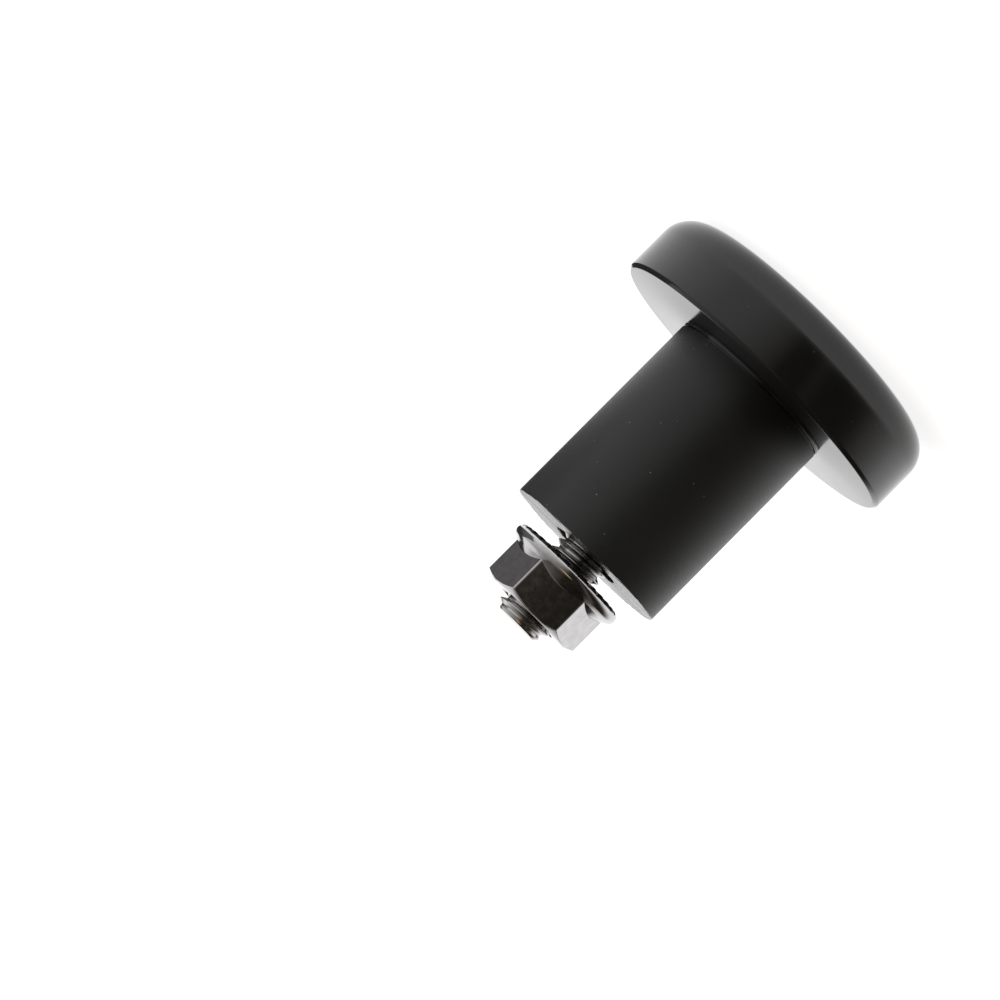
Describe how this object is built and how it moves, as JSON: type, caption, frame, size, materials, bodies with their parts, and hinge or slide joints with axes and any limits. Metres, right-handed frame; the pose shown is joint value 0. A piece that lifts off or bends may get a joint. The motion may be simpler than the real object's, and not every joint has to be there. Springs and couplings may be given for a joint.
{
  "type": "bar end weight",
  "caption": "Round black bar end weight with an expanding rubber sleeve, a countersunk screw and a flange nut that draws the sleeve tight inside a handlebar.",
  "frame": {"origin": "centre of the object's footprint, on the plane that the lip of the head's recess stands on", "axes": "+Z runs along the screw from the face of the head to the nut; a flat of the nut faces -Y"},
  "size_m": [0.0336, 0.0336, 0.0408],
  "materials": {
    "black_coat": "satin-gloss black coat on turned steel",
    "black_rubber": "matte black extruded rubber with square-cut ends",
    "screw_steel": "satin stainless steel",
    "nut_steel": "bright polished stainless steel"
  },
  "bodies": {
    "cap_and_sleeve": {"end_cap": "black_coat", "rubber_sleeve": "black_rubber"},
    "screw": {"countersunk_screw": "screw_steel"},
    "nut": {"flange_nut": "nut_steel"}
  },
  "joints": [
    {"name": "nut_travel", "type": "slide", "parent": "cap_and_sleeve", "child": "nut", "axis": [0, 0, 1], "range_m": [-0.0018, 0.0014]},
    {"name": "screw_turn", "type": "hinge", "parent": "cap_and_sleeve", "child": "screw", "pos_m": [0, 0, 0.0008], "axis": [0, 0, 1], "range_deg": [-506, 650]}
  ],
  "couplings": [
    {"joint": "screw_turn", "follows": "nut_travel", "rad_per_m": -6283.2}
  ]
}
